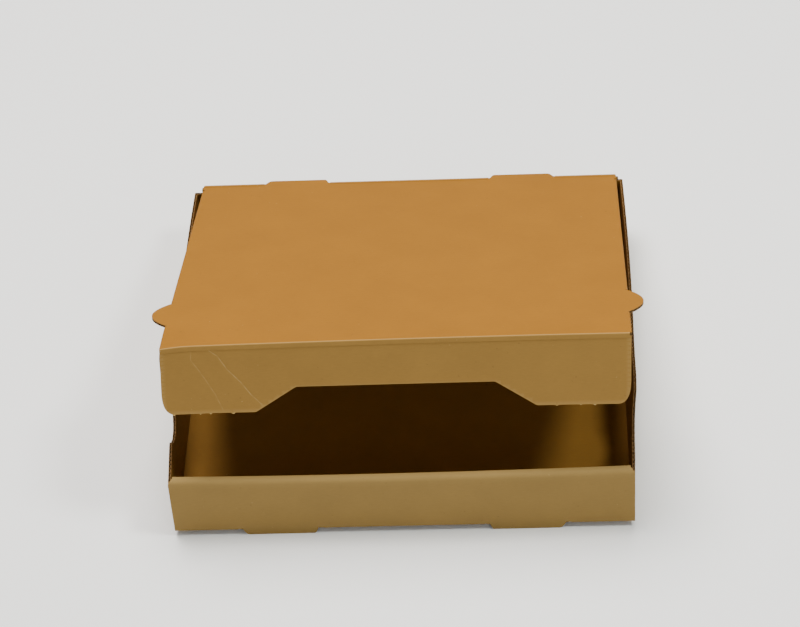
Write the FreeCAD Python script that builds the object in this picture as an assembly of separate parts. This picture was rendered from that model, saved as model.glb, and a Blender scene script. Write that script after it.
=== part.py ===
import FreeCAD, Part
import math
import os

# A pizza box folded from one corrugated blank, standing on its feet with the lid ajar.
# Millimetres. +X is the box's right, +Y its back and +Z up. The origin is on the table,
# under the middle of the box as measured over its hinge tabs.

# Board
board = 1.5              # thickness of the sheet
play = 0.15              # slack between boards that lie side by side
crease_slit = 0.3        # clearance at a crease that works as a hinge

# Tray
width = 260.0            # across the front wall, outside
depth = 260.0            # front wall to back wall, outside
wall_height = 40.6       # front and back walls, above the floor's underside
side_height = 38.4       # side walls, above the floor's underside
strip_inset = 2.4        # how far the roll-over stops short of the front wall's ends
front_ear = 42.0         # side wall's ear, trapped inside the double front wall
rear_ear = 30.0          # side wall's ear, along the back wall
ear_taper = 4.0          # chamfer on an ear's free corners

# The side walls lean out towards the back and bow out in between, more on the left
left_lean = 4.6
left_bow = 3.2
right_lean = 2.6
right_bow = 2.8
wall_stations = 7        # cross-sections that a side wall is drawn through

# Thumb notches in the side walls
notch_from_front = 50.0
notch_width = 33.0
notch_depth = 8.5

# Locking tabs of the roll-over, in slots of the floor
lock_x = 28.0
lock_width = 30.0
slot_slack = 0.5

# Feet and hinge tabs, cut from the same die pattern on both sides of the middle
tab_x = 70.0
foot_width = 44.0
foot_drop = 3.1
hinge_tab_width = 40.0
hinge_tab_reach = 5.5
tab_outer_slope = 4.5
tab_inner_slope = 3.0
tab_clearance = 0.6

# Lid
lid_ajar = 18.4          # degrees that the lid stands open
side_clearance = 0.3     # between the lid's side flaps and the side walls
tuck_gap = 5.95          # from the front flap to the double wall when shut
side_flap_lift = 8.5     # side flaps stop this much above the floor when shut
side_flap_start = 7.0    # from the hinge, along the fold
side_flap_slope = 11.0   # run of their slanted rear edge
side_flap_gap = 0.5      # between a side flap's front edge and the front flap
side_flap_round = 4.0    # lower front corner
lobe_from_front = 53.5
lobe_reach = 9.0
lobe_length = 32.5
lobe_points = 6          # on each half of a lobe's curve

# Front flap
flap_splay = 3.5         # degrees that it stands out from square to the lid
flap_lift = 0.6          # its lower edge above the floor when shut
flap_inset = 0.2         # from the lid's side, each end
flap_corner_width = 9.0
flap_corner_height = 14.0
cutout_bottom = 153.4
cutout_top = 108.5
cutout_height = 14.2

# Places worked out from the sizes
tab_overhang = hinge_tab_reach * math.cos(math.radians(lid_ajar)) - board / 2
front_y = -(depth + tab_overhang) / 2
back_y = front_y + depth
floor_z = foot_drop
floor_top = floor_z + board
wall_top = floor_z + wall_height
side_top = floor_z + side_height
floor_half = width / 2 - board
strip_width = 3 * board + 2 * play
hinge_y = back_y - board / 2
hinge_z = wall_top + crease_slit + board / 2
lid_half = floor_half - side_clearance
lid_depth = depth - board / 2 - strip_width - tuck_gap
flap_hinge_y = hinge_y - lid_depth + board / 2
lid_top = hinge_z + board / 2
notch_y = front_y + notch_from_front
lobe_y = front_y + lobe_from_front
wall_start = front_y + board + play
wall_end = back_y - board - play
beyond = 2 * board       # how far a cutting tool runs past the board


def closed_face(steps, place):
    """Face inside a closed path of points; a (through, end) pair is an arc."""
    edges = []
    here = steps[0]
    for step in steps[1:] + steps[:1]:
        if isinstance(step[0], tuple):
            through, end = step
            edges.append(Part.Arc(place(*here), place(*through), place(*end)).toShape())
        else:
            end = step
            edges.append(Part.makeLine(place(*here), place(*end)))
        here = end
    return Part.Face(Part.Wire(edges))


def bend(centre, radius, start, stop):
    """Arc step about a centre between two angles, in degrees."""
    def at(angle):
        turn = math.radians(angle)
        return (centre[0] + radius * math.cos(turn), centre[1] + radius * math.sin(turn))
    return (at((start + stop) / 2), at(stop))


def along_x(steps, x_from, x_to):
    face = closed_face(steps, lambda y, z: FreeCAD.Vector(x_from, y, z))
    return face.extrude(FreeCAD.Vector(x_to - x_from, 0, 0))


def along_y(steps, y_from, y_to):
    face = closed_face(steps, lambda x, z: FreeCAD.Vector(x, y_from, z))
    return face.extrude(FreeCAD.Vector(0, y_to - y_from, 0))


def along_z(steps, z_from, z_to):
    face = closed_face(steps, lambda x, y: FreeCAD.Vector(x, y, z_from))
    return face.extrude(FreeCAD.Vector(0, 0, z_to - z_from))


def rectangle(a_from, a_to, b_from, b_to):
    return [(a_from, b_from), (a_to, b_from), (a_to, b_to), (a_from, b_to)]


def box(xs, ys, zs):
    return along_z(rectangle(*xs, *ys), *zs)


def tab_outline(side, root_width, reach, root, direction, grow=0.0):
    """Trapezoid tab: wide at its root, with a long outer slope and a short inner one."""
    outer = root_width / 2 + grow
    return [
        (side * (tab_x - outer), root),
        (side * (tab_x + outer), root),
        (side * (tab_x + outer - tab_outer_slope), root + direction * (reach + grow)),
        (side * (tab_x - outer + tab_inner_slope), root + direction * (reach + grow)),
    ]


def front_to_back():
    """Double front wall, floor and back wall, as one folded section."""
    corner = wall_top - board
    outline = [
        (front_y, corner),
        bend((front_y + board, corner), board, 180, 90),
        (front_y + strip_width - board, wall_top),
        bend((front_y + strip_width - board, corner), board, 90, 0),
        (front_y + strip_width, floor_top),
        (back_y - board, floor_top),
        (back_y - board, wall_top),
        (back_y, wall_top),
        (back_y, floor_top),
        bend((back_y - board, floor_top), board, 0, -90),
        (front_y + board, floor_z),
        bend((front_y + board, floor_top), board, 270, 180),
    ]
    core = rectangle(front_y + board, front_y + strip_width - board, floor_top, corner)
    return along_x(outline, -width / 2, width / 2).cut(along_x(core, -width / 2, width / 2))


def roll_over_end(side):
    """Waste beside the roll-over, so that its top strip ends in a mitre."""
    outside = width / 2 + beyond
    inset = width / 2 - strip_inset
    steps = [
        (side * outside, front_y + board),
        (side * width / 2, front_y + board),
        (side * inset, front_y + strip_width - board),
        (side * inset, front_y + strip_width + play),
        (side * outside, front_y + strip_width + play),
    ]
    return along_z(steps, floor_top, wall_top + beyond)


def floor_margin(side):
    """Waste under the side walls, whose own folds fill it."""
    xs = sorted((side * floor_half, side * (width / 2 + beyond)))
    return box(xs, (front_y - beyond, back_y + beyond), (floor_z - beyond, floor_top))


def side_wall(side, lean, bow):
    """Board from the floor's fold up, drawn through sections that lean and bow out."""
    sections = []
    for station in range(wall_stations):
        share = station / (wall_stations - 1)
        y = wall_start + share * (wall_end - wall_start)
        out = lean * share + 4 * bow * share * (1 - share)
        through = board * math.sqrt(0.5)
        steps = [
            (side * floor_half, floor_z),
            ((side * (floor_half + through), floor_top - through), (side * width / 2, floor_top)),
            (side * (width / 2 + out), side_top),
            (side * (floor_half + out), side_top),
            (side * floor_half, floor_top),
        ]
        sections.append(closed_face(steps, lambda x, z: FreeCAD.Vector(x, y, z)).OuterWire)
    return Part.makeLoft(sections, True)


def ear(side, y_from, length, lean):
    """Ear folded in from a side wall's end; its root follows the wall's lean."""
    foot = floor_top + play
    root = floor_half + play / 2
    end = width / 2 - length
    steps = [
        (side * root, foot),
        (side * (root + lean), side_top),
        (side * (end + ear_taper), side_top),
        (side * end, side_top - ear_taper),
        (side * end, foot + ear_taper),
        (side * (end + ear_taper), foot),
    ]
    return along_y(steps, y_from, y_from + board)


def thumb_notch(side):
    """Waste of a round-bottomed notch in a side wall's top edge."""
    half = notch_width / 2
    steps = [
        (notch_y - half, side_top + beyond),
        (notch_y - half, side_top),
        ((notch_y, side_top - notch_depth), (notch_y + half, side_top)),
        (notch_y + half, side_top + beyond),
    ]
    return along_x(steps, side * (floor_half - beyond), side * (width / 2 + left_lean + right_lean + beyond))


def lock_slot(side):
    """Waste of the floor slot that takes a locking tab."""
    half = lock_width / 2 + slot_slack
    ys = (front_y + strip_width - board - play, front_y + strip_width + play)
    return box((side * lock_x - half, side * lock_x + half), ys, (floor_z - beyond, floor_top))


def lock_tab(side):
    half = lock_width / 2
    ys = (front_y + strip_width - board, front_y + strip_width)
    return box((side * lock_x - half, side * lock_x + half), ys, (floor_z, floor_top + board))


def foot(side, wall_y):
    """Foot in line with a wall, from below the floor up to the wall."""
    root = foot_width / 2
    blade = tab_outline(side, foot_width, foot_drop, floor_z, -1)
    xs = sorted((side * (tab_x - root), side * (tab_x + root)))
    stem = box(xs, (wall_y, wall_y + board), (floor_z, floor_top))
    return along_y(blade, wall_y, wall_y + board).fuse(stem)


def foot_gap(side, fold_y, direction):
    """Waste in the floor where a foot was cut from it."""
    steps = tab_outline(side, foot_width, foot_drop, fold_y, direction)
    return along_z(steps, floor_z - beyond, floor_top)


def hinge_tab_gap(side):
    """Waste in the back wall's top edge where a hinge tab was cut from it."""
    steps = tab_outline(side, hinge_tab_width, hinge_tab_reach, hinge_z, -1, tab_clearance)
    return along_y(steps, back_y - beyond, back_y + beyond)


def make_tray():
    leans = {-1: (left_lean, left_bow), 1: (right_lean, right_bow)}
    body = front_to_back()
    waste = []
    added = []
    for side, (lean, bow) in leans.items():
        waste += [roll_over_end(side), floor_margin(side), lock_slot(side), hinge_tab_gap(side)]
        waste += [foot_gap(side, front_y + board, 1), foot_gap(side, back_y - board, -1)]
        added += [side_wall(side, lean, bow).cut(thumb_notch(side)), lock_tab(side)]
        added += [ear(side, wall_start, front_ear, 0), ear(side, wall_end - board, rear_ear, lean)]
        added += [foot(side, front_y), foot(side, back_y - board)]
    return body.cut(waste).fuse(added).removeSplitter()


def lobe_curve(place):
    """Rounded edge of a lobe, from one end of its root to the other."""
    points = []
    for step in range(-lobe_points, lobe_points + 1):
        share = step / lobe_points
        points.append(place(share * lobe_length / 2, (lobe_reach + board) * (1 - share ** 2)))
    curve = Part.BSplineCurve()
    curve.interpolate(points)
    return curve.toShape()


def lobe_plate(side):
    """Lobe in the lid's plane, from the fold outwards."""
    fold = lid_half - board
    curve = lobe_curve(lambda s, out: FreeCAD.Vector(side * (fold + out), lobe_y + s, lid_top - board))
    ends = [vertex.Point for vertex in curve.Vertexes]
    base = Part.makeLine(ends[1], ends[0])
    return Part.Face(Part.Wire([curve, base])).extrude(FreeCAD.Vector(0, 0, board))


def lobe_hole(side):
    """Waste in the side flap where its lobe was cut from it."""
    x_from = side * (lid_half - board)
    curve = lobe_curve(lambda s, out: FreeCAD.Vector(x_from, lobe_y + s, lid_top - out))
    ends = [vertex.Point for vertex in curve.Vertexes]
    base = Part.makeLine(ends[1], ends[0])
    return Part.Face(Part.Wire([curve, base])).extrude(FreeCAD.Vector(side * 2 * board, 0, 0))


def side_flap(side):
    """Fold and hanging flap on one side of the lid."""
    fold = lid_half - board
    under = lid_top - board
    low = floor_top + side_flap_lift
    centre = (side * fold, under)
    start, stop = (90, 0) if side > 0 else (90, 180)
    section = [
        (side * fold, lid_top),
        bend(centre, board, start, stop),
        (side * lid_half, low),
        (side * fold, low),
    ]
    y_front = flap_hinge_y + board / 2 + side_flap_gap
    y_back = hinge_y - side_flap_start
    round_centre = (y_front + side_flap_round, low + side_flap_round)
    outline = [
        (y_front, lid_top),
        (y_front, low + side_flap_round),
        bend(round_centre, side_flap_round, 180, 270),
        (y_back - side_flap_slope, low),
        (y_back, under),
        (y_back, lid_top),
    ]
    reach = side * (lid_half + board)
    return along_y(section, y_front, y_back).common(along_x(outline, 0, reach))


def make_lid():
    middle = board / 2
    section = [
        (flap_hinge_y, hinge_z + middle),
        bend((flap_hinge_y, hinge_z), middle, 90, 270),
        (hinge_y, hinge_z - middle),
        bend((hinge_y, hinge_z), middle, 270, 450),
    ]
    panel = along_x(section, -lid_half, lid_half)
    y_front = flap_hinge_y + middle + side_flap_gap
    pieces = []
    for side in (-1, 1):
        xs = sorted((side * (lid_half - board), side * (lid_half + beyond)))
        panel = panel.cut(box(xs, (y_front, hinge_y - side_flap_start), (lid_top - 2 * board, lid_top + board)))
        pieces.append(side_flap(side).cut(lobe_hole(side)))
        pieces.append(lobe_plate(side))
        tab = tab_outline(side, hinge_tab_width, hinge_tab_reach, hinge_y, 1)
        root = sorted((side * (tab_x - hinge_tab_width / 2), side * (tab_x + hinge_tab_width / 2)))
        zs = (hinge_z - middle, hinge_z + middle)
        pieces.append(along_z(tab, *zs).fuse(box(root, (hinge_y - board, hinge_y), zs)))
    return panel.fuse(pieces).removeSplitter()


def make_front_flap():
    half = lid_half - flap_inset
    top = hinge_z - board / 2 - crease_slit
    low = floor_top + flap_lift
    y = flap_hinge_y - board / 2

    def place(x, z):
        return FreeCAD.Vector(x, y, z)

    def corner(side):
        curve = Part.BezierCurve()
        curve.setPoles([
            place(side * half, low + flap_corner_height),
            place(side * half, low),
            place(side * (half - flap_corner_width), low),
        ])
        return curve.toShape()

    def line(*points):
        return [Part.makeLine(place(*a), place(*b)) for a, b in zip(points, points[1:])]

    edges = line((-half, low + flap_corner_height), (-half, top), (half, top), (half, low + flap_corner_height))
    edges.append(corner(1))
    edges += line(
        (half - flap_corner_width, low),
        (cutout_bottom / 2, low),
        (cutout_top / 2, low + cutout_height),
        (-cutout_top / 2, low + cutout_height),
        (-cutout_bottom / 2, low),
        (flap_corner_width - half, low),
    )
    edges.append(corner(-1))
    wire = Part.Wire(Part.__sortEdges__(edges))
    return Part.Face(wire).extrude(FreeCAD.Vector(0, board, 0))


def turned(shape, y, z, angle):
    """Copy of a shape, swung open about a crease that runs left to right."""
    copy = shape.copy()
    copy.rotate(FreeCAD.Vector(0, y, z), FreeCAD.Vector(-1, 0, 0), angle)
    return copy


def main():
    tray = make_tray()
    lid = turned(make_lid(), hinge_y, hinge_z, lid_ajar)
    flap = turned(make_front_flap(), flap_hinge_y, hinge_z, flap_splay)
    flap = turned(flap, hinge_y, hinge_z, lid_ajar)
    os.makedirs("parts", exist_ok=True)
    for name, shape in {"tray": tray, "lid": lid, "lid_front_flap": flap}.items():
        shape.exportStep(f"parts/{name}.step")
        size = shape.BoundBox
        print(name, "solids", len(shape.Solids), "valid", shape.isValid(), "volume", round(shape.Volume, 1))
        print("  from", [round(v, 2) for v in (size.XMin, size.YMin, size.ZMin)])
        print("  to", [round(v, 2) for v in (size.XMax, size.YMax, size.ZMax)])


main()
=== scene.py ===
import math

import bpy
import numpy as np
from mathutils import Matrix, Vector
from mathutils.geometry import delaunay_2d_cdt
from mathutils.kdtree import KDTree


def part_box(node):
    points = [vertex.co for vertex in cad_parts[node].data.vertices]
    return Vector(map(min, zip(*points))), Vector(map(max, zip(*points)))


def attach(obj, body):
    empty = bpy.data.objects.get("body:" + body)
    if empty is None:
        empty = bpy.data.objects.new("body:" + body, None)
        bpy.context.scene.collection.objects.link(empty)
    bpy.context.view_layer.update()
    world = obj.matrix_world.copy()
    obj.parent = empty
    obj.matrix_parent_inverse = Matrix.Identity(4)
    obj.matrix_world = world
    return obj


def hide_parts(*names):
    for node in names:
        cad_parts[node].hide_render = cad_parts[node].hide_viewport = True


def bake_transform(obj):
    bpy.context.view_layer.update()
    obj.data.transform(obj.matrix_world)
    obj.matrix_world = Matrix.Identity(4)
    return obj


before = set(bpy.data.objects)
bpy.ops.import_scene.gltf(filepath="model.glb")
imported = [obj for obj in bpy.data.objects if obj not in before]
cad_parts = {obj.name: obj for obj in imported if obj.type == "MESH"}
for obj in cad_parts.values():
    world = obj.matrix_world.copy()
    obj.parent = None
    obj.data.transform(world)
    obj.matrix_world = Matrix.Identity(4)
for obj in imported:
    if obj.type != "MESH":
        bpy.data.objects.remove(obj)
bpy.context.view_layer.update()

# A pizza box of brown corrugated board. Each sheet is drawn flat, as its die cuts it, and
# then folded. A flat point is (across, along, height in the board), in millimetres: across
# is +X, along is +Y as it lies on the floor or the shut lid, and the flutes run across.

MM = 0.001

# Board
board = 1.5
half_board = board / 2
play = 0.15              # slack between boards that lie side by side
crease_slit = 0.3        # clearance at a crease that works as a hinge
liner = 0.2              # outer skins of the board
medium = 0.17            # wavy sheet between them
flute_pitch = 3.3
groove = 1.1             # how far a cut edge lets one look in between the skins
ribbon_recess = 0.05     # the wavy sheet stops this far inside the cut
ribbon_overrun = 1.02    # and runs just past the groove's depth
bend_radius = 0.95       # of the board's middle, at a fold
bend_length = bend_radius * math.pi / 2
bend_saving = 2 * bend_radius - bend_length
knife_gap = 0.3          # width of a cut between two panels
fold_crisp = 0.45        # how far the outer skin stands out at a fold's middle
roll_radius = 2.2        # of the soft fold along the front wall's top
roll_length = roll_radius * math.pi / 2

# Tray
tray_low, tray_high = (tuple(v / MM for v in corner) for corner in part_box("tray"))
front_y = tray_low[1]
back_y = tray_high[1]
wall_top = tray_high[2]
width = 260.0            # across the front wall, outside
side_height = 38.4       # side walls, above the floor's underside
foot_drop = 3.1          # feet, below the floor's underside
strip_inset = 2.4        # how far the roll-over stops short of the front wall's ends
strip_round = 0.4        # corners at the ends of the roll-over's strip
front_ear = 42.0         # side wall's ear, trapped inside the double front wall
rear_ear = 30.0          # side wall's ear, along the back wall
ear_taper = 4.0          # on an ear's free corners
ear_lift = 0.75          # ears clear the floor
left_lean, left_bow = 4.6, 3.2      # side walls lean out towards the back and bow out in between
right_lean, right_bow = 2.6, 2.8
notch_from_front = 50.0
notch_width = 33.0
notch_depth = 8.5
notch_round = 3.0
lock_x = 28.0            # locking tabs of the roll-over, in slots of the floor
lock_width = 30.0
slot_slack = 0.5
die_round = 0.9          # a knife line turns its corners this softly

# Feet and hinge tabs
tab_x = 70.0
foot_width = 44.0
hinge_tab_width = 40.0
hinge_tab_reach = 5.5
tab_outer_run = 4.5
tab_inner_run = 3.0
tab_root_pole = 0.25     # shares of the run that steer the curve of a tab's end
tab_tip_pole = 0.6
tab_clearance = 0.6

# Lid and its front flap
lid_ajar = 18.4          # degrees that the lid stands open
side_clearance = 0.3     # between the lid's side flaps and the side walls
tuck_gap = 5.95          # from the front flap to the double wall when shut
side_flap_lift = 8.5     # side flaps stop this much above the floor when shut
side_flap_start = 7.0    # from the hinge, along the fold
side_flap_slope = 11.0   # run of their slanted rear edge
side_flap_gap = 0.5      # between a side flap's front edge and the front flap
side_flap_round = 4.0    # lower front corner
lobe_from_front = 56.0
lobe_reach = 9.0
lobe_length = 32.5
flap_splay = 3.5         # degrees that the front flap stands out from square to the lid
flap_lift = 0.9          # its lower edge above the floor when shut
flap_inset = 0.2         # from the lid's side, each end
flap_corner_width = 7.2
flap_corner_height = 14.0
cutout_bottom = 153.4
cutout_top = 108.5
cutout_height = 14.2

# Paper round the two working creases
crease_skin = 0.22
crease_skin_proud = 0.22
crease_tail = 2.2
crease_steps = 10
crease_rows = crease_steps + 3      # of points across the paper, with its two tails
hinge_rub = [0.2] * crease_rows
hinge_light_tone = [0.0] * crease_rows
# how much paler the paper is round the front crease, most near its middle
flap_crease_paler = [0, 0, 0, 0.1, 0.3, 0.7, 0.9, 0.5, 0.2, 0.1, 0, 0, 0]
# painted light: round the front crease the tone turns from the lid's top-lit colour to the flap's front-lit
# colour
flap_crease_light_tone = [0, 0, 0, 0, 0, 0, 0.1, 0.3, 0.5, 0.7, 0.7, 0.7, 0.7]

# Shape that use has given to the tray
front_bow = 1.6          # the double front wall bulges out at its top
front_lean = 1.0         # and leans out at its left end
front_lean_reach = 6.0   # depth that moves with it, and length over which that fades
right_ripples = ((0.28, 0.08, 0.8), (0.11, 0.05, -0.4))     # place along the wall, width, size
rear_twist = 0.75        # the side walls' rear ends are up on the right and down on the left
rear_lift = 0.4
soft_start = 1.5         # power of a bend that grows from nothing

# Shape that use has given to the lid and the front flap
lid_crown = 0.7          # the lid's front fold stands up in its middle
lid_twist = 0.85         # the lid's front right corner is up and its front left corner down
corner_droop = 1.3       # the lid's front left corner hangs
corner_droop_from = 15.0
corner_droop_start, corner_droop_run = 0.9, 0.1     # as shares of the lid's depth
left_lid_spread = 0.4    # how far the lid reaches out on its left, at the hinge
right_lid_spread = (0.3, 0.5)       # the same on its right, and what is added up to its front
left_belly = 0.6         # the lid's left side flap bulges out near its front end
left_bend = 1.6          # the front flap's left corner is pushed out, below two cracks
left_bend_from = 100.0
left_spread = 0.7        # and its lower edge reaches out
right_bend = 0.9
right_bend_from = 90.0
right_spread = (0.7, 0.6)           # on the right, at the fold, and what is lost down to the edge

# Cracks in the front flap, as places across it and below its fold
cracks = (
    ((-110.8, 3.4), (-111.1, 7.4), (-106.2, 14.8), (-103.6, 19.1),
     (-98.3, 28.6), (-96.3, 33.6), (-94.5, 37.8)),
    ((-101.4, 2.0), (-96.3, 5.8), (-91.4, 13.7), (-84.1, 21.7), (-79.1, 28.7), (-73.1, 35.1)),
)
crack_half_width = 0.24
crack_depths = (0.08, 0.12)
crack_lip = 0.6          # the board beside a crack stands up by this share of its depth
crack_lip_width = 1.6
crack_wear = (0.45, 0.85)
crack_wear_width = 1.6 * crack_half_width
patch_mean, patch_swing = 0.6, 0.4  # the wear of a crack comes and goes
patch_waves = (0.7, 1.3)            # across and along, in radians for each millimetre

# Torn tags that held the blank in its sheet: place across the flap, width and length
left_nicks = ((89.2, 2.4, 0.75), (101.6, 1.5, 0.65), (107.1, 1.2, 0.55), (121.6, 1.6, 0.75))
right_nicks = ((87.6, 1.5, 0.55), (100.7, 1.2, 0.5), (108.3, 1.9, 0.65))
tag_shape = ((-0.5, 0.0), (-0.25, 0.8), (0.05, 1.0), (0.3, 0.5), (0.5, 0.0))
tag_round = 0.1
tag_clear = 0.2          # from the last tag to the flap's round corner
tag_root = 0.15
tag_wear = 1.3

# Rubbed paper, painted highlights and painted shade
edge_highlight = 0.3          # painted highlight along the crushed edge of the front flap, where its bent liner catches light
on_edge = 0.05
strip_highlight = 0.45        # painted highlight: the strip on top of the front wall is made paler, where top light falls on its round fold
strip_fade_from = 0.5    # before the fold between the strip and the front wall
strip_fade_length = 0.8 * roll_length
fold_shade = 0.9         # painted shade: dark line in the folds between the floor and the side walls
fold_shade_width = 0.55
# share of the pale colour where a mark is 1, and of the painted shade colour where it is -1
wear_and_light_strength = 0.6

# Paper colours, with painted light. A face's tone is 0 for the warm colour of the liner on top of the lid,
# where top light falls, and 1 for the cooler colour of the front wall, where front light falls.
# A sheet has one tone for its upper face as it lies flat, and one for its lower face.
top_light_liner = (0.262, 0.105, 0.004)
front_light_liner = (0.235, 0.143, 0.036)
pale_paper = (0.5, 0.34, 0.13)
dark_fleck = (0.1, 0.045, 0.012)
# painted shade colour for the folds between the floor and the side walls
fold_shade_colour = (0.03, 0.012, 0.003)
cut_colour = (0.25, 0.135, 0.045)
# painted shade: the faces inside the groove of a cut edge, and their flecks, are nearly black
flute_shade_colour = (0.04, 0.016, 0.004)
flute_shade_paler = (0.08, 0.04, 0.015)
colour_swing = 0.09
fleck_share = 0.4
tray_light_tones = (0.4, 1.0)
lid_light_tones = (0.0, 0.1)
flap_light_tones = (0.7, 0.1)

# Fineness of the meshes
bend_steps = 6
flute_steps = 8          # points in one flute
corner_steps = 5
round_steps = 10
lobe_steps = 36
sheet_spacing = 5.0
flap_spacing = 2.5
strip_spacing = 6.0
shortest_edge = 0.02
rim_clear = 0.3          # grid points keep this far from a cut edge
crack_clear = 0.6        # and from a crack's points
line_clear = 0.2         # and from a fold's lines, as a share of their spacing
longest_arm = 0.45       # share of a line that one rounded corner may use
gentle_turn = 25         # corners of fewer degrees aren't rounded
shortest_mitre = 0.6     # these two keep a groove narrow at sharp corners
steepest_mitre = 0.5
foot_root_slack = 0.01
weld_distance = 1e-5
board_sharp = 40         # degrees between faces from which an edge stays sharp
crease_sharp = 50

# Floor, and lights as name, place, target, size, power and colour
floor_reach = 6.0
floor_colour = (0.96, 0.965, 0.97, 1.0)
floor_roughness = 0.9
sky_colour = (0.95, 0.97, 1.0, 1.0)
sky_strength = 0.3
lights = (
    ("top_light", (-0.3, 0.5, 2.2), (0, 0, 0), 1.5, 89.0, (1.0, 0.96, 0.9)),
    ("right_light", (1.0, -0.35, 1.7), (0, 0, 0), 0.45, 20.0, (0.97, 1.0, 0.93)),
    ("front_light", (0.8, -2.1, 1.0), (0, 0, 0.05), 1.2, 10.5, (0.9, 0.96, 1.0)),
)

# Camera, from the middle of the front wall's outside, at the height of the floor's underside
photo_width = 800
focal_pixels = 2808.95
sensor_width = 36.0
camera_place = (82.6, -1107.2, 1137.9)
camera_turns = (41.36, 3.945, -4.09)       # pitch, yaw and roll, in degrees
camera_far = 100.0

# Places worked out from the sizes
floor_z = foot_drop
floor_top = floor_z + board
floor_middle = floor_z + half_board
side_top = floor_z + side_height
floor_half = width / 2 - board
strip_width = 3 * board + 2 * play
hinge_y = back_y - half_board
hinge_z = wall_top + crease_slit + half_board
lid_half = floor_half - side_clearance
lid_depth = back_y - front_y - half_board - strip_width - tuck_gap
flap_hinge_y = hinge_y - lid_depth + half_board
notch_y = front_y + notch_from_front
lobe_y = front_y + lobe_from_front

# Where the folds start on the flat tray, from the floor outwards
side_fold = width / 2 - half_board - bend_radius
front_fold = front_y + half_board + bend_radius
wall_run = wall_top - half_board - floor_middle
top_fold = front_fold - bend_length - (wall_run - bend_radius - roll_radius)
strip_run = strip_width - board
inner_fold = top_fold - roll_length - (strip_run - bend_radius - roll_radius)
inner_end = inner_fold - bend_length - (wall_top - half_board - bend_radius - floor_top)
back_fold = back_y - half_board - bend_radius
back_end = back_fold + bend_length + wall_top - floor_middle - bend_radius
front_ear_fold = front_y + board + play + half_board + bend_radius
rear_ear_fold = back_y - board - play - half_board - bend_radius
side_end = side_fold + bend_length + side_top - floor_middle - bend_radius
ear_foot = side_fold + bend_length + board + ear_lift - bend_radius

# The same on the flat lid and front flap
lid_fold = lid_half - half_board - bend_radius
side_flap_front = flap_hinge_y + half_board + side_flap_gap
side_flap_back = hinge_y - side_flap_start
side_flap_drop = hinge_z - floor_top - side_flap_lift
side_flap_end = lid_fold + bend_length + side_flap_drop - bend_radius
flap_half = lid_half - flap_inset
flap_top = flap_hinge_y - half_board - crease_slit
flap_end = flap_hinge_y - (hinge_z - floor_top - flap_lift)


def fan(first, last, steps):
    return [first + (last - first) * step / steps for step in range(steps + 1)]


def blended(weights, poles):
    """Flat point between some poles, each with its own weight."""
    return tuple(sum(w * pole[k] for w, pole in zip(weights, poles)) for k in (0, 1))


def arc(centre, radius, start, stop, steps):
    turns = [math.radians(angle) for angle in fan(start, stop, steps)]
    return [(centre[0] + radius * math.cos(t), centre[1] + radius * math.sin(t)) for t in turns]


def s_curve(start, stop, steps=8):
    """Curve that leaves a fold softly and turns round a tab's corner."""
    run = stop[0] - start[0]
    after_start = (start[0] + tab_root_pole * run, start[1])
    before_stop = (stop[0] - tab_tip_pole * run, stop[1])
    points = []
    for t in fan(0.0, 1.0, steps):
        weights = ((1 - t) ** 3, 3 * t * (1 - t) ** 2, 3 * t * t * (1 - t), t ** 3)
        points.append(blended(weights, (start, after_start, before_stop, stop)))
    return points


def tab_points(tab_width, reach, grow=0.0):
    """A right-hand tab as (across, distance from its fold), from its inner to its outer root."""
    inner = tab_x - tab_width / 2 - grow
    outer = tab_x + tab_width / 2 + grow
    tip = reach + grow
    up = s_curve((inner, 0.0), (inner + tab_inner_run, tip))
    down = s_curve((outer, 0.0), (outer - tab_outer_run, tip))
    return up + down[::-1]


def mirrored(loop):
    return [(-u, v) for u, v in reversed(loop)]


def both_sides(half):
    """Closed outline from its right half, listed from the middle round to the middle."""
    return half + mirrored(half)


def rounded(line):
    """The line with its sharp corners turned softly. A third number is a corner's own radius."""
    ends = [point[:2] for point in line]
    radii = [point[2] if len(point) > 2 else die_round for point in line]
    soft = [ends[0]]
    for before, corner, after, radius in zip(ends, ends[1:], ends[2:], radii[1:]):
        arms = []
        ways = []
        for other in (before, after):
            run = (other[0] - corner[0], other[1] - corner[1])
            length = math.hypot(*run)
            back = min(radius, longest_arm * length) / length
            arms.append((corner[0] + back * run[0], corner[1] + back * run[1]))
            ways.append((run[0] / length, run[1] / length))
        straight = -(ways[0][0] * ways[1][0] + ways[0][1] * ways[1][1])
        if math.degrees(math.acos(max(-1.0, min(1.0, straight)))) < gentle_turn:
            soft.append(corner)
            continue
        for t in fan(0.0, 1.0, corner_steps):
            weights = ((1 - t) ** 2, 2 * t * (1 - t), t * t)
            soft.append(blended(weights, (arms[0], corner, arms[1])))
    return soft + [ends[-1]]


def lobe_share(v):
    """Rounded shape of a lobe: 1 at its middle and 0 at its two roots."""
    share = np.clip((v - lobe_y) / (lobe_length / 2), -1, 1)
    return 1 - share ** 2


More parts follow.
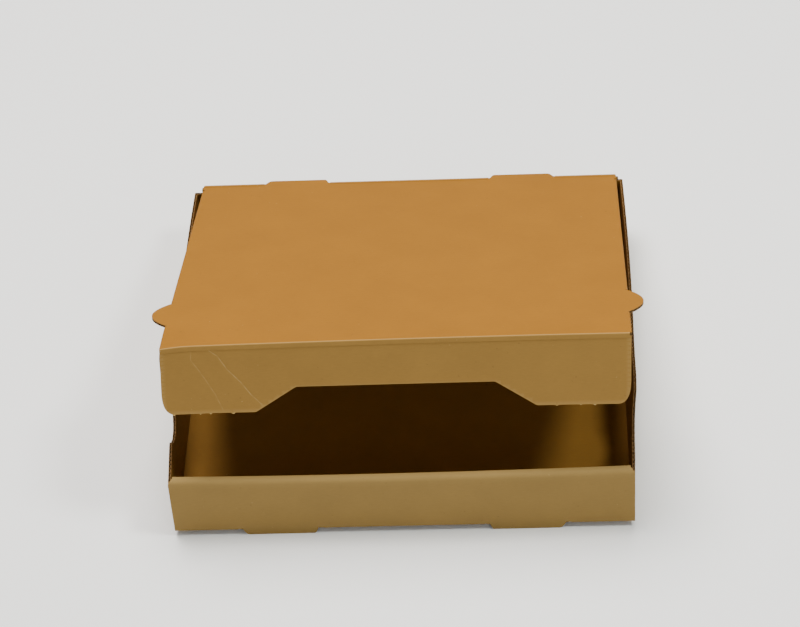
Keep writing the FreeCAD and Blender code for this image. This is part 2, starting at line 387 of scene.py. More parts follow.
def tray_outline():
    half = [
        (lock_x - lock_width / 2, inner_end),
        (lock_x - lock_width / 2, inner_end - board),
        (lock_x + lock_width / 2, inner_end - board),
        (lock_x + lock_width / 2, inner_end),
        (width / 2 - strip_inset, inner_end),
        (width / 2 - strip_inset, inner_fold, strip_round),
        (width / 2, top_fold - roll_length / 4, strip_round),
        (width / 2, front_y + board, 0.0),
        (floor_half, front_y + board, 0.0),
        (floor_half, front_y + board + play, 0.0),
        (ear_foot, front_y + board + play),
    ]
    front_tip = front_y + 2 * board + play - front_ear + bend_saving
    rear_tip = back_y - 2 * board - play + rear_ear - bend_saving
    half += [
        (ear_foot, front_tip + ear_taper),
        (ear_foot + ear_taper, front_tip),
        (side_end - ear_taper, front_tip),
        (side_end, front_tip + ear_taper),
    ]
    radius = ((notch_width / 2) ** 2 + notch_depth ** 2) / (2 * notch_depth)
    spread = math.degrees(math.asin(notch_width / 2 / radius))
    notch = arc((side_end - notch_depth + radius, notch_y), radius, 180 + spread, 180 - spread, 6)
    half += [(*notch[0], notch_round)] + notch[1:-1] + [(*notch[-1], notch_round)]
    half += [
        (side_end, rear_tip - ear_taper),
        (side_end - ear_taper, rear_tip),
        (ear_foot + ear_taper, rear_tip),
        (ear_foot, rear_tip - ear_taper),
        (ear_foot, back_y - board - play),
        (floor_half, back_y - board - play, 0.0),
        (floor_half, back_y - board, 0.0),
        (width / 2, back_y - board, 0.0),
        (width / 2, back_end),
    ]
    slot = tab_points(hinge_tab_width, hinge_tab_reach, tab_clearance)
    top_run = hinge_z - wall_top
    half += [(u, back_end + top_run - d) for u, d in reversed(slot) if d > top_run]
    return both_sides(rounded(half))


def foot_cut(fold, direction):
    """The two sides of the knife line round a right-hand foot."""
    reach = bend_radius + floor_middle
    sides = [tab_points(foot_width, reach, grow) for grow in (0.0, knife_gap)]
    return [[(u, fold + direction * (d - bend_length)) for u, d in side] for side in sides]


def foot_slot(fold, direction):
    inner, outer = foot_cut(fold, direction)
    return outer + inner[::-1]


def lock_slot():
    near = front_y + strip_width - board - play
    far = front_y + strip_width + play
    left = lock_x - lock_width / 2 - slot_slack
    right = lock_x + lock_width / 2 + slot_slack
    return [(left, near), (right, near), (right, far), (left, far)]


def lid_outline():
    half = [
        (lid_half, flap_hinge_y),
        (lid_half, side_flap_front - knife_gap),
        (lid_fold, side_flap_front - knife_gap / 2),
        (lid_fold + bend_length, side_flap_front),
    ]
    corner = (side_flap_end - side_flap_round, side_flap_front + side_flap_round)
    half += arc(corner, side_flap_round, -90, 0, 8)
    half += [
        (side_flap_end, side_flap_back - side_flap_slope),
        (lid_fold + bend_length, side_flap_back),
        (lid_fold, side_flap_back + knife_gap / 2),
        (lid_half, side_flap_back + knife_gap),
        (lid_half, hinge_y),
    ]
    half += [(u, hinge_y + d) for u, d in reversed(tab_points(hinge_tab_width, hinge_tab_reach))]
    return both_sides(rounded(half))


def lobe_slot():
    """Knife line round the right-hand lobe."""
    along = fan(lobe_y - lobe_length / 2, lobe_y + lobe_length / 2, lobe_steps)
    root = lid_half - board
    reach = lobe_reach + board
    inner = [(root + reach * float(lobe_share(v)), v) for v in along]
    outer = [(u + knife_gap, v) for u, v in inner]
    return outer[::-1] + inner


def flap_side(nicks):
    """Right half of the front flap's outline, with torn tags on its lower edge."""
    cutout = flap_end + cutout_height
    side = [(0.0, cutout), (cutout_top / 2, cutout), (cutout_bottom / 2, flap_end)]
    for nick, across, length in nicks:
        from_end = min(1.0, (flap_half - nick) / flap_corner_width)
        rise = flap_corner_height * (1 - math.sqrt(from_end)) ** 2
        for along, out in tag_shape:
            side.append((nick + along * across, flap_end + rise - out * length, tag_round))
    last = side[-1][0]
    for t in fan(0.0, 1.0, round_steps):
        u = flap_half - flap_corner_width * (1 - t) ** 2
        if u > last + tag_clear:
            side.append((u, flap_end + flap_corner_height * t * t))
    side.append((flap_half, flap_top))
    return rounded(side)


def flap_outline():
    return flap_side(right_nicks)[1:] + mirrored(flap_side(left_nicks)[1:])


def area(loop):
    u, v = np.array(loop).T
    return float(np.sum(u * np.roll(v, -1) - np.roll(u, -1) * v)) / 2


def refined(loop, lines_u, lines_v, longest):
    """The loop with points added where it crosses a grid line, and close enough for the flutes."""
    fine = []
    flute_step = flute_pitch / flute_steps
    for (ua, va), (ub, vb) in zip(loop, loop[1:] + loop[:1]):
        shares = {0.0}
        for a, b, lines in ((ua, ub, lines_u), (va, vb, lines_v)):
            if abs(b - a) > 1e-9:
                shares |= {(line - a) / (b - a) for line in lines}
        kept = sorted(s for s in shares if 0 <= s < 1)
        ends = kept[1:] + [1.0]
        length = math.hypot(ub - ua, vb - va)
        for start, stop in zip(kept, ends):
            if (stop - start) * length < shortest_edge:
                continue
            count = max(1, math.ceil((stop - start) * max(length / longest, abs(vb - va) / flute_step)))
            for step in range(count):
                s = start + (stop - start) * step / count
                fine.append((ua + s * (ub - ua), va + s * (vb - va)))
    return fine


def inside(points, loops):
    """Whether each point lies inside the outer loop and outside the cuts in it."""
    hits = np.zeros(len(points), bool)
    x, y = points[:, 0], points[:, 1]
    for loop in loops:
        for (ua, va), (ub, vb) in zip(loop, loop[1:] + loop[:1]):
            if va == vb:
                continue
            crossing = (va > y) != (vb > y)
            hits ^= crossing & (x < (ub - ua) * (y - va) / (vb - va) + ua)
    return hits


def inset(loop):
    """Each point of the loop, moved into the board by the depth of the groove."""
    p = np.array(loop)
    ahead = np.roll(p, -1, 0) - p
    ahead /= np.linalg.norm(ahead, axis=1)[:, None]
    normal = np.stack([-ahead[:, 1], ahead[:, 0]], 1)
    mitre = normal + np.roll(normal, 1, 0)
    mitre /= np.maximum(np.linalg.norm(mitre, axis=1), shortest_mitre)[:, None]
    reach = groove / np.maximum(np.sum(mitre * normal, 1), steepest_mitre)
    return p + mitre * reach[:, None]


def clear_of(crowd, points, distance):
    """Those points that lie further than a distance from all points of the crowd."""
    tree = KDTree(len(crowd))
    for index, (u, v) in enumerate(crowd):
        tree.insert((u, v, 0), index)
    tree.balance()
    return [tuple(p) for p in points if tree.find((p[0], p[1], 0))[2] > distance]


def grid_points(loops, lines_u, lines_v, spacing, extra):
    """Points of the sheet's grid and of its cracks, inside the cut edges."""
    outer = np.array(loops[0])
    low, high = outer.min(0), outer.max(0)
    axes = []
    for k, lines in enumerate((lines_u, lines_v)):
        regular = np.arange(math.ceil(low[k] / spacing), high[k] / spacing) * spacing
        if lines:
            gap = np.min(np.abs(regular[:, None] - np.array(lines)[None, :]), axis=1)
            regular = regular[gap > line_clear * spacing]
        axes.append(np.concatenate([regular, np.array(lines)]))
    mesh_u, mesh_v = np.meshgrid(*axes)
    points = np.stack([mesh_u.ravel(), mesh_v.ravel()], 1)
    if len(extra):
        points = np.array(clear_of(extra, points, crack_clear) + list(extra))
    return points[inside(points, loops)]


def triangulated(loops, rims, grid):
    """Points of a flat sheet, its triangles, and where each rim point is among the points."""
    edges = []
    start = 0
    for loop in rims:
        edges += [(start + k, start + (k + 1) % len(loop)) for k in range(len(loop))]
        start += len(loop)
    plan = [point for loop in rims for point in loop] + grid
    points = [Vector(p) for p in plan]
    found, _, faces, origin, _, _ = delaunay_2d_cdt(points, edges, [], 0, weld_distance)
    where = [ids[0] if ids else -1 for ids in origin]
    flat = np.array([plan[k] if k >= 0 else tuple(found[n]) for n, k in enumerate(where)])
    faces = np.array(faces)
    faces = faces[inside(flat[faces].mean(1), loops)]
    return flat, faces, {k: n for n, k in enumerate(where) if k >= 0}


def level(points, height):
    heights = np.broadcast_to(np.asarray(height, float), (len(points),))
    return np.column_stack([points, heights])


def edge_rings(loop):
    """Rings of points along a cut edge: four round the groove and four round the wavy sheet."""
    edge = np.array(loop)
    deep = inset(loop)
    core = half_board - liner
    wave = (core - medium / 2) * np.sin(2 * math.pi * edge[:, 1] / flute_pitch)
    front = edge + (deep - edge) * ribbon_recess / groove
    past = edge + (deep - edge) * ribbon_overrun
    rings = [(edge, -core), (deep, -core), (deep, core), (edge, core)]
    rings += [(front, wave - medium / 2), (front, wave + medium / 2)]
    rings += [(past, wave + medium / 2), (past, wave - medium / 2)]
    return [level(points, height) for points, height in rings]


def ring_faces(pairs):
    """Faces between pairs of rings, each given by the numbers of its points."""
    faces = []
    for low, high in pairs:
        for k in range(len(low)):
            n = (k + 1) % len(low)
            faces.append((low[k], low[n], high[n], high[k]))
    return faces


def in_scene(name, data):
    thing = bpy.data.objects.new(name, data)
    bpy.context.scene.collection.objects.link(thing)
    return thing


def finished(mesh, flat, wear_and_light, light_tone, sharp):
    """Puts a mesh into the scene, with its flat places, its wear and painted light, and its painted light
    tone.
    """
    corners = np.empty(len(mesh.loops), np.int32)
    mesh.loops.foreach_get("vertex_index", corners)
    layer = mesh.uv_layers.new(name="blank")
    layer.data.foreach_set("uv", (flat[corners] * MM).ravel())
    for name, values in (("wear_and_light", wear_and_light), ("light_tone", light_tone)):
        attribute = mesh.attributes.new(name, "FLOAT", "POINT")
        attribute.data.foreach_set("value", values)
    mesh.shade_smooth()
    mesh.set_sharp_from_angle(angle=math.radians(sharp))
    mesh.update()
    return in_scene(mesh.name, mesh)


def sheet_mesh(
        name, loops, folded, light_tones, lines_u=(), lines_v=(), spacing=sheet_spacing, extra=(), wear_and_light=None):
    """Corrugated board as a closed mesh: two skins, open cut edges and the wavy sheet in them."""
    loops = [loop if (area(loop) > 0) == (k == 0) else loop[::-1] for k, loop in enumerate(loops)]
    rims = [refined(loop, lines_u, lines_v, spacing) for loop in loops]
    grid = grid_points(loops, list(lines_u), list(lines_v), spacing, extra)
    grid = clear_of([point for loop in rims for point in loop], grid, rim_clear)
    flat, faces, index_of = triangulated(loops, rims, grid)
    count = len(flat)
    blocks = [level(flat, half_board), level(flat, -half_board)]
    size = 2 * count
    skins = [tuple(face) for face in faces] + [tuple(face[::-1] + count) for face in faces]
    cuts = []
    hollows = []
    start = 0
    for loop in rims:
        top = [index_of[start + k] for k in range(len(loop))]
        bottom = [k + count for k in top]
        start += len(loop)
        ids = []
        for ring in edge_rings(loop):
            blocks.append(ring)
            ids.append(list(range(size, size + len(loop))))
            size += len(loop)
        cuts += ring_faces([(bottom, ids[0]), (ids[3], top)])
        cuts += ring_faces([(ids[4], ids[5]), (ids[5], ids[6]), (ids[6], ids[7]), (ids[7], ids[4])])
        hollows += ring_faces([(ids[0], ids[1]), (ids[1], ids[2]), (ids[2], ids[3])])
    blank = np.concatenate(blocks)
    mesh = bpy.data.meshes.new(name)
    mesh.from_pydata((folded(blank) * MM).tolist(), [], skins + cuts + hollows)
    slots = [0] * len(skins) + [1] * len(cuts) + [2] * len(hollows)
    mesh.polygons.foreach_set("material_index", slots)
    marks = wear_and_light(blank) if wear_and_light else np.zeros(len(blank))
    return finished(mesh, blank[:, :2], marks, np.where(blank[:, 2] > 0, *light_tones), board_sharp)


def bend(points, axis, start, sign, towards=1, flat=None, stiff=None, radius=bend_radius, crisp=fold_crisp):
    """Folds the sheet square along a line. Flat points stay, stiff ones turn without a curve."""
    beyond = (points[:, axis] - start) * sign
    height = points[:, 2] * towards
    turn = np.clip(beyond / radius, 0, math.pi / 2)
    run = beyond - radius * turn
    if stiff is not None:
        turn = np.where(stiff, math.pi / 2, turn)
        run = np.where(stiff, beyond - bend_length, run)
    if flat is not None:
        turn = np.where(flat, 0, turn)
        run = np.where(flat, beyond, run)
    arm = radius - height + crisp * np.clip(-height / half_board, 0, 1) * np.sin(2 * turn) ** 2
    result = points.copy()
    result[:, axis] = start + sign * (np.sin(turn) * arm + np.cos(turn) * run)
    result[:, 2] = towards * (radius - np.cos(turn) * arm + np.sin(turn) * run)
    return result


def in_foot(flat, fold, direction):
    """Points that belong to a foot: past the fold's far end, inside the knife line."""
    inner, outer = foot_cut(fold, direction)
    middle = [((a[0] + b[0]) / 2, (a[1] + b[1]) / 2) for a, b in zip(inner, outer)]
    for k in (0, -1):
        middle[k] = (middle[k][0], middle[k][1] - direction * foot_root_slack)
    return inside(np.column_stack([np.abs(flat[:, 0]), flat[:, 1]]), [middle])


def front_wall_shift(points):
    """How far the front wall, with the ears inside it, stands in front of its upright place."""
    across = points[:, 0] / (width / 2)
    height = np.clip(points[:, 2] / (wall_top - floor_middle), 0, 1)
    near = np.clip(2 - (points[:, 1] - front_y) / front_lean_reach, 0, 1)
    return (front_bow * np.clip(1 - across ** 2, 0, 1) + front_lean * (1 - across) / 2) * height * near


def leaned(wall, sign, lean, bow):
    """An upright side wall with its ears, leaning and bowed out and twisted at its rear end."""
    share = np.clip((wall[:, 1] - front_y - board) / (back_y - front_y - 2 * board), 0, 1)
    out = lean * share + 4 * bow * share * (1 - share)
    if sign > 0:
        out += sum(size * np.exp(-((share - place) / reach) ** 2) for place, reach, size in right_ripples)
    height = np.clip((wall[:, 2] - half_board) / (side_height - board), 0, 1)
    ear_end = width / 2 - rear_ear
    grip = np.clip((np.abs(wall[:, 0]) - ear_end) / (floor_half - ear_end), 0, 1)
    wall[:, 0] += sign * out * height * grip
    wall[:, 2] += (rear_lift + sign * rear_twist) * height * share ** soft_start
    return wall


def fold_tray(flat):
    """Folds ears, walls and the double front wall, then leans and bows the walls."""
    points = flat.copy()
    u, v = flat[:, 0], flat[:, 1]
    past_wall = np.abs(u) > (width / 2 + ear_foot) / 2
    in_floor = (v > front_y + board + play / 2) & (v < back_y - board - play / 2)
    sides = past_wall | ((np.abs(u) > side_fold) & in_floor)
    front_feet = in_foot(flat, front_fold, 1)
    back_feet = in_foot(flat, back_fold, -1)

    front = ~sides & ((v < front_fold) | front_feet)
    part = bend(points[front], 1, inner_fold, -1)
    part = bend(part, 1, top_fold, -1, radius=roll_radius, crisp=0.0)
    points[front] = bend(part, 1, front_fold, -1, stiff=front_feet[front], crisp=0.0)

    back = ~sides & ((v > back_fold) | back_feet)
    points[back] = bend(points[back], 1, back_fold, 1, stiff=back_feet[back])

    still = ~past_wall[sides]
    part = bend(points[sides], 1, front_ear_fold, -1, flat=still)
    part = bend(part, 1, rear_ear_fold, 1, flat=still)
    for sign, lean, bow in ((-1, left_lean, left_bow), (1, right_lean, right_bow)):
        own = part[:, 0] * sign > 0
        part[own] = leaned(bend(part[own], 0, sign * side_fold, sign), sign, lean, bow)
    points[sides] = part
    points[:, 1] -= front_wall_shift(points)
    points[:, 2] += floor_middle
    return points


def lid_reach(y):
    """How far along the shut lid a point lies: 0 at the hinge and 1 at the front fold."""
    return np.clip((hinge_y - y) / (hinge_y - flap_hinge_y), 0, 1)


def lid_warp(x, y):
    """How far the lid's board sits off flat, in its own upward direction."""
    reach = lid_reach(y)
    droop = np.clip((-lid_half + corner_droop_from - x) / corner_droop_from, 0, 1) ** soft_start
    near_front = np.clip((reach - corner_droop_start) / corner_droop_run, 0, 1) ** soft_start
    crown = lid_crown * (1 - (x / lid_half) ** 2) * reach ** 2
    return crown + lid_twist * x / lid_half * reach - corner_droop * droop * near_front


def lid_spread(points):
    """How far the lid's board stands beside its square shape, as a distance along +X."""
    x, y, z = points.T
    reach = lid_reach(y)
    right = right_lid_spread[0] + right_lid_spread[1] * reach
    spread = np.where(x > 0, right, left_lid_spread * (1 - reach))
    hung = np.clip(1 + z / side_flap_drop, 0, 1)
    beyond = np.clip(1 - (np.abs(x) - lid_half) / lobe_reach, 0, 1)
    drop = np.clip((-z - board) / side_flap_drop, 0, 1)
    belly = left_belly * np.sin(math.pi * np.sqrt(drop)) * reach ** 3 * (x < 0)
    return spread * hung * beyond * x / lid_half - belly


def open_lid(points):
    """Turns points of the shut lid about the hinge line, to where the lid stands."""
    angle = math.radians(lid_ajar)
    y = points[:, 1] - hinge_y
    z = points[:, 2]
    turned = points.copy()
    turned[:, 1] = hinge_y + y * math.cos(angle) + z * math.sin(angle)
    turned[:, 2] = hinge_z - y * math.sin(angle) + z * math.cos(angle)
    return turned


def fold_lid(flat):
    """Folds the side flaps down but leaves the lobes level, then warps and opens the lid."""
    points = flat.copy()
    u, v = flat[:, 0], flat[:, 1]
    hung = (v < side_flap_back + knife_gap / 2) & (v > side_flap_front - knife_gap / 2)
    lobe_edge = lid_half - board + (lobe_reach + board) * lobe_share(v) + knife_gap / 2
    in_lobe = (np.abs(v - lobe_y) < lobe_length / 2) & (np.abs(u) < lobe_edge)
    hung &= ~in_lobe & (np.abs(u) > lid_fold)
    for sign in (-1, 1):
        own = hung & (u * sign > 0)
        points[own] = bend(points[own], 0, sign * lid_fold, sign, -1)
    points[:, 0] += lid_spread(points)
    points[:, 2] += lid_warp(np.clip(points[:, 0], -lid_half, lid_half), points[:, 1])
    return open_lid(points)


def crack_lines():
    """The cracks as lines of flat points."""
    return [[(u, flap_hinge_y - d) for u, d in line] for line in cracks]


def distance_to(line, points):
    """Distance of each point from a broken line."""
    best = np.full(len(points), np.inf)
    for (ua, va), (ub, vb) in zip(line, line[1:]):
        run = np.array([ub - ua, vb - va])
        offset = points - np.array([ua, va])
        share = np.clip(offset @ run / (run @ run), 0, 1)
        best = np.minimum(best, np.linalg.norm(offset - share[:, None] * run, axis=1))
    return best


def crack_points():
    """Rows of points along each crack, so that it can dip."""
    rows = []
    for line in crack_lines():
        for (ua, va), (ub, vb) in zip(line, line[1:]):
            length = math.hypot(ub - ua, vb - va)
            across = ((va - vb) / length, (ub - ua) / length)
            for share in fan(0.0, 1.0, max(2, int(length)))[:-1]:
                for offset in (-2, -1, 0, 1, 2):
                    shift = offset * crack_half_width
                    u = ua + share * (ub - ua) + shift * across[0]
                    v = va + share * (vb - va) + shift * across[1]
                    rows.append((u, v))
    return rows


def flap_bulge(flat):
    """How far the front flap's board stands out of its plane."""
    u = flat[:, 0]
    drop = np.clip((flap_top - flat[:, 1]) / (flap_top - flap_end), 0, 1)
    left = np.clip((-u - left_bend_from) / (lid_half - left_bend_from), 0, 1)
    right = np.clip((u - right_bend_from) / (lid_half - right_bend_from), 0, 1)
    out = left_bend * left * drop + right_bend * right ** soft_start * drop ** soft_start
    for line, depth in zip(crack_lines(), crack_depths):
        gap = distance_to(line, flat[:, :2])
        out = out - depth * np.exp(-(gap / crack_half_width) ** 2)
        out = out + crack_lip * depth * np.exp(-(gap / crack_lip_width) ** 2)
    return out


def fold_flap(flat):
    """Hangs the flat front flap on the lid's front fold, a little splayed."""
    out = flat[:, 2] + flap_bulge(flat)
    drop = flap_hinge_y - flat[:, 1]
    share = np.clip(drop / (flap_hinge_y - flap_end), 0, 1)
    angle = math.radians(flap_splay)
    right = right_spread[0] - right_spread[1] * share
    spread = np.where(flat[:, 0] > 0, right, -left_spread * share)
    points = flat.copy()
    points[:, 0] += spread * np.abs(flat[:, 0]) / lid_half
    points[:, 1] = flap_hinge_y - out * math.cos(angle) - drop * math.sin(angle)
    points[:, 2] = out * math.sin(angle) - drop * math.cos(angle)
    points[:, 2] += lid_warp(flat[:, 0], np.full(len(flat), flap_hinge_y)) * (1 - share)
    return open_lid(points)


def fold_rows(start, sign, length=bend_length):
    return fan(start, start + sign * length, bend_steps)


def tray_highlight_and_shade(blank):
    """Painted highlight on the strip, fading into the front wall, and painted shade lines in the folds of
    the side walls.
    """
    u, v, height = blank.T
    fade = np.clip((top_fold + strip_fade_from - v) / strip_fade_length, 0, 1)
    pale = strip_highlight * fade * (v > inner_fold - bend_length) * (height < 0)
    from_fold = np.abs(u) - side_fold - bend_length / 2
    dark = fold_shade * np.exp(-(from_fold / fold_shade_width) ** 2) * (np.abs(v) < back_fold)
    return pale - dark * (height > 0)


def flap_wear_and_highlight(blank):
    """Rubbed paper along the cracks, here more and there less, and on the tags, with a painted highlight on
    the cut edge.
    """
    flat = blank[:, :2]
    across, along = (np.sin(rate * flat[:, k]) for k, rate in enumerate(patch_waves))
    patchy = patch_mean + patch_swing * along * across
    outline = flap_outline()
    marks = edge_highlight * (distance_to(outline + outline[:1], flat) < on_edge)
    for line, share in zip(crack_lines(), crack_wear):
        near = 1 - distance_to(line, flat) / crack_wear_width
        marks = np.maximum(marks, share * patchy * near)
    tags = flat[:, 1] < flap_end - tag_root
    return marks * (blank[:, 2] > 0) + tag_wear * tags


def make_tray():
    holes = []
    for slot in (foot_slot(front_fold, 1), foot_slot(back_fold, -1), lock_slot()):
        holes += [slot, mirrored(slot)]
    rows = fold_rows(front_fold, -1) + fold_rows(top_fold, -1, roll_length) + fold_rows(inner_fold, -1)
    rows += fold_rows(back_fold, 1) + fold_rows(front_ear_fold, -1) + fold_rows(rear_ear_fold, 1)
    columns = fold_rows(side_fold, 1) + fold_rows(-side_fold, -1)
    loops = [tray_outline()] + holes
    return sheet_mesh("tray_board", loops, fold_tray, tray_light_tones, columns, rows, wear_and_light=tray_highlight_and_shade)


def make_lid():
    loops = [lid_outline(), lobe_slot(), mirrored(lobe_slot())]
    columns = fold_rows(lid_fold, 1) + fold_rows(-lid_fold, -1)
    return sheet_mesh("lid_board", loops, fold_lid, lid_light_tones, columns)


def make_flap():
    return sheet_mesh(
        "front_flap_board", [flap_outline()], fold_flap, flap_light_tones,
        spacing=flap_spacing, extra=crack_points(), wear_and_light=flap_wear_and_highlight)


def node(tree, kind, **values):
    made = tree.nodes.new(kind)
    for name, value in values.items():
        if name in made.inputs:
            made.inputs[name].default_value = value
        else:
            setattr(made, name, value)
    return made


def noise(tree, place, **values):
    made = node(tree, "ShaderNodeTexNoise", **values)
    tree.links.new(place, made.inputs["Vector"])
    return made.outputs["Fac"]


def times(tree, value, factor, plus=None, **settings):
    """A value times a factor, and plus another value where one is given."""
    operation = "MULTIPLY" if plus is None else "MULTIPLY_ADD"
    made = node(tree, "ShaderNodeMath", operation=operation, **settings)
    tree.links.new(value, made.inputs[0])
    made.inputs[1].default_value = factor
    if plus is not None:
        tree.links.new(plus, made.inputs[2])
    return made.outputs[0]


def between(tree, value, low, high, top=1.0):
    """0 below the low end, top above the high end, and a straight slope between them."""
    made = node(tree, "ShaderNodeMapRange", **{"From Min": low, "From Max": high, "To Max": top})
    tree.links.new(value, made.inputs["Value"])
    return made.outputs["Result"]


def shades(colour):
    return tuple(tuple(c * (1 + s * colour_swing) for c in colour) for s in (-1, 1))


def mixed_colour(tree, factor, first, second):
    """Mix of two colours, each a constant or another node's output."""
    mix = node(tree, "ShaderNodeMix", data_type="RGBA")
    tree.links.new(factor, mix.inputs[0])
    for slot, colour in ((6, first), (7, second)):
        if isinstance(colour, tuple):
            mix.inputs[slot].default_value = (*colour, 1.0)
        else:
            tree.links.new(colour, mix.inputs[slot])
    return mix.outputs[2]


def kraft_material(name, top, side, paler, edge=False):
    """Brown paper: blotches, fibres, flecks, a painted light tone, pale rubbed places and painted
    highlights, painted shade in folds, and faint flutes.
    """
    material = bpy.data.materials.new(name)
    material.use_nodes = True
    tree = material.node_tree
    link = tree.links.new
    shader = tree.nodes["Principled BSDF"]
    shader.inputs["Roughness"].default_value = 0.82
    shader.inputs["Specular IOR Level"].default_value = 0.25
    place = node(tree, "ShaderNodeUVMap", uv_map="blank").outputs["UV"]
    blotch = noise(tree, place, Scale=28.0, Detail=4.0, Roughness=0.6)
    stretch = node(tree, "ShaderNodeMapping", Scale=(260.0, 1500.0, 1.0))
    link(place, stretch.inputs["Vector"])
    fibre = noise(tree, stretch.outputs["Vector"], Scale=1.0, Detail=3.0, Roughness=0.65)
    fine = times(tree, fibre, 0.45)
    uneven = between(tree, times(tree, blotch, 0.55, plus=fine), 0.3, 0.7)
    faces = [mixed_colour(tree, uneven, *shades(colour)) for colour in (top, side)]
    # painted light: each face's tone mixes the top-lit liner colour with the front-lit one
    light_tone = node(tree, "ShaderNodeAttribute", attribute_name="light_tone").outputs["Fac"]
    colour = mixed_colour(tree, light_tone, *faces)

    for scale, low, high, shade in ((480.0, 0.76, 0.86, paler), (420.0, 0.72, 0.82, dark_fleck)):
        speck = noise(tree, place, Scale=scale, Detail=1.0, Roughness=0.5)
        colour = mixed_colour(tree, between(tree, speck, low, high, fleck_share), colour, shade)

    # a mark above 0 makes the paper pale: rubbed paper and painted highlights; below 0 dark: painted shade
    # in folds
    wear_and_light = node(tree, "ShaderNodeAttribute", attribute_name="wear_and_light").outputs["Fac"]
    for gain, shade in ((wear_and_light_strength, paler), (-wear_and_light_strength, fold_shade_colour)):
        colour = mixed_colour(tree, times(tree, wear_and_light, gain, use_clamp=True), colour, shade)
    link(colour, shader.inputs["Base Color"])

    if not edge:
        split = node(tree, "ShaderNodeSeparateXYZ")
        link(place, split.inputs["Vector"])
        flutes = node(tree, "ShaderNodeMath", operation="SINE")
        link(times(tree, split.outputs["Y"], 2 * math.pi / (flute_pitch * MM)), flutes.inputs[0])
        bump = node(tree, "ShaderNodeBump", Strength=0.35, Distance=0.00012)
        link(times(tree, flutes.outputs[0], 0.12, plus=fine), bump.inputs["Height"])
        link(bump.outputs["Normal"], shader.inputs["Normal"])
    return material


def strip_mesh(name, profile, spans, paler, light_tone):
    """Thin closed band along X through a profile of (outer, inner) point pairs.

    The pale amounts and the painted light tones hold one number for each pair."""
    vertices = []
    faces = []
    for x_from, x_to in spans:
        columns = max(1, int((x_to - x_from) / strip_spacing))
        base = len(vertices)
        for x in fan(x_from, x_to, columns):
            for outer, inner in profile:
                vertices += [(x, *outer), (x, *inner)]
        row = 2 * len(profile)
        for column in range(columns):
            a = base + column * row
            b = a + row
            for k in range(len(profile) - 1):
                o, n = 2 * k, 2 * k + 2
                faces += [(a + o, a + n, b + n, b + o), (a + o + 1, b + o + 1, b + n + 1, a + n + 1)]
            last = row - 2
            faces += [(a, b, b + 1, a + 1), (a + last, a + last + 1, b + last + 1, b + last)]
        end = base + columns * row
        for k in range(len(profile) - 1):
            o, n = 2 * k, 2 * k + 2
            faces.append((base + o, base + o + 1, base + n + 1, base + n))
            faces.append((end + o, end + n, end + n + 1, end + o + 1))
    mesh = bpy.data.meshes.new(name)
    mesh.from_pydata((np.array(vertices) * MM).tolist(), [], faces)
    flat = np.array([(v[0], v[1] + v[2]) for v in vertices])
    marks, shade = (np.resize(np.repeat(values, 2), len(vertices)) for values in (paler, light_tone))
    return finished(mesh, flat, marks, shade, crease_sharp)


def crease_band(name, y, z, first, last, spans, paler, light_tone):
    """Skin round a working crease, from one board's face, about its axis, to the other's.

    Angles are of the outward normals, in degrees from +Y towards +Z."""
    outer = half_board + crease_skin_proud
    inner = outer - crease_skin
    profile = []
    steps = fan(first, last, crease_steps)
    sweep = 1 if last > first else -1
    tails = [-crease_tail] + [0.0] * len(steps) + [crease_tail]
    for angle, tail in zip([first] + steps + [last], tails):
        turn = math.radians(angle)
        normal = (math.cos(turn), math.sin(turn))
        along = (-normal[1] * sweep, normal[0] * sweep)
        pair = []
        for r in (outer, inner):
            pair.append((y + normal[0] * r + along[0] * tail, z + normal[1] * r + along[1] * tail))
        profile.append(pair)
    return strip_mesh(name, profile, spans, paler, light_tone)


def make_hinge_crease():
    """The lid's crease, left out behind the hinge tabs. Returns it with its axis."""
    inner = tab_x - hinge_tab_width / 2 - tab_clearance
    outer = tab_x + hinge_tab_width / 2 + tab_clearance
    spans = [(-lid_half, -outer), (-inner, inner), (outer, lid_half)]
    up = 90.0 - lid_ajar
    piece = crease_band("hinge_crease", hinge_y, hinge_z, 0.0, up, spans, hinge_rub, hinge_light_tone)
    return piece, Vector((0, hinge_y * MM, hinge_z * MM))


def make_flap_crease():
    """The front flap's crease, warped as the lid is. Returns it with its axis."""
    angle = math.radians(lid_ajar)
    reach = hinge_y - flap_hinge_y
    y = hinge_y - reach * math.cos(angle)
    z = hinge_z + reach * math.sin(angle)
    up = 90.0 - lid_ajar
    down = up + 90.0 - flap_splay
    piece = crease_band("flap_crease", y, z, up, down, [(-flap_half, flap_half)], flap_crease_paler, flap_crease_light_tone)
    across = np.array([vertex.co.x / MM for vertex in piece.data.vertices])
    lift = lid_warp(across, np.full(len(across), flap_hinge_y))
    for vertex, rise in zip(piece.data.vertices, lift):
        vertex.co.y += rise * MM * math.sin(angle)
        vertex.co.z += rise * MM * math.cos(angle)
    return piece, Vector((0, y * MM, z * MM))


def make_floor():
    mesh = bpy.data.meshes.new("floor")
    corners = [(x * floor_reach, y * floor_reach, 0) for x, y in ((-1, -1), (1, -1), (1, 1), (-1, 1))]
    mesh.from_pydata(corners, [], [(0, 1, 2, 3)])
    floor = in_scene("floor", mesh)
    material = bpy.data.materials.new("pale_floor")
    material.use_nodes = True
    shader = material.node_tree.nodes["Principled BSDF"]
    shader.inputs["Base Color"].default_value = floor_colour
    shader.inputs["Roughness"].default_value = floor_roughness
    floor.data.materials.append(material)


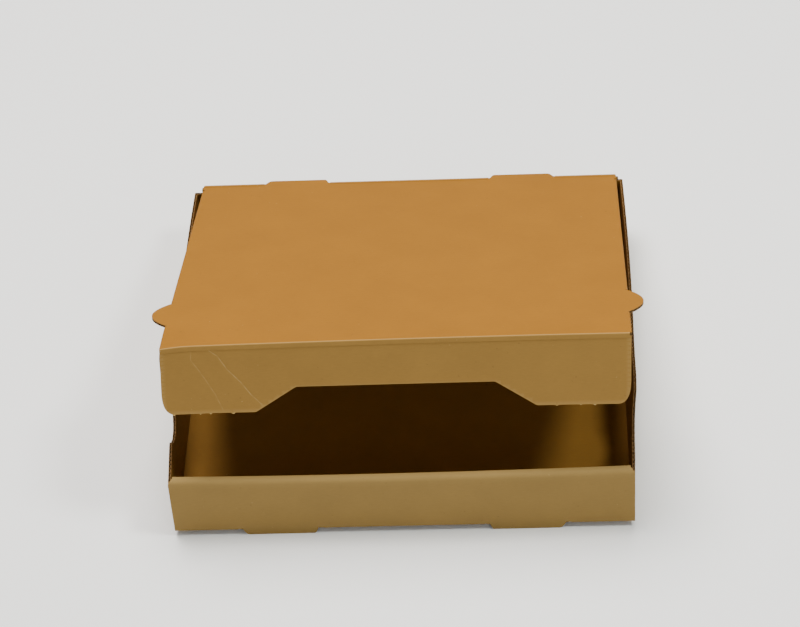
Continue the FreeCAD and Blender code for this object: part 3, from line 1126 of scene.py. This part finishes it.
def make_lights():
    world = bpy.data.worlds.new("studio")
    world.use_nodes = True
    background = world.node_tree.nodes["Background"]
    background.inputs["Color"].default_value = sky_colour
    background.inputs["Strength"].default_value = sky_strength
    bpy.context.scene.world = world
    for name, place, target, size, power, colour in lights:
        data = bpy.data.lights.new(name, "AREA")
        data.shape = "DISK"
        data.size = size
        data.energy = power
        data.color = colour
        light = in_scene(name, data)
        light.location = place
        light.rotation_mode = "QUATERNION"
        light.rotation_quaternion = (Vector(target) - Vector(place)).to_track_quat("-Z", "Y")


def make_camera():
    """Stands where the photo was taken from, worked out from the box's corners."""
    pitch, yaw, roll = (math.radians(angle) for angle in camera_turns)
    place = (camera_place[0], camera_place[1] + front_y, camera_place[2] + floor_z)
    ahead = Vector((0, math.cos(pitch), -math.sin(pitch)))
    up = Vector((0, math.sin(pitch), math.cos(pitch)))
    turn = Matrix.Rotation(yaw, 3, "Z")
    ahead, up, right = turn @ ahead, turn @ up, turn @ Vector((1, 0, 0))
    tilted_right = right * math.cos(roll) + up * math.sin(roll)
    tilted_up = up * math.cos(roll) - right * math.sin(roll)
    data = bpy.data.cameras.new("camera")
    data.sensor_width = sensor_width
    data.lens = focal_pixels / photo_width * sensor_width
    data.clip_end = camera_far
    camera = in_scene("camera", data)
    axes = Matrix((tilted_right, tilted_up, -ahead)).transposed().to_4x4()
    camera.matrix_world = Matrix.Translation(Vector(place) * MM) @ axes
    bpy.context.scene.camera = camera


def main():
    make_camera()
    make_floor()
    make_lights()
    kraft = kraft_material("kraft_liner", top_light_liner, front_light_liner, pale_paper)
    papers = kraft_material("cut_paper", cut_colour, cut_colour, pale_paper, edge=True)
    # painted shade on the hollows of the groove inside each cut edge
    gaps = kraft_material("flute_gap_shade", flute_shade_colour, flute_shade_colour, flute_shade_paler, edge=True)
    sheets = (
        (make_tray(), "tray", "tray"),
        (make_lid(), "lid", "lid"),
        (make_flap(), "front_flap", "lid_front_flap"),
    )
    for piece, body, solid in sheets:
        for material in (kraft, papers, gaps):
            piece.data.materials.append(material)
        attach(piece, body)
        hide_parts(solid)

    hinge, axis = make_hinge_crease()
    hinge.data.materials.append(kraft)
    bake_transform(hinge)
    crease, axis = make_flap_crease()
    crease.data.materials.append(kraft)
    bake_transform(crease)


main()
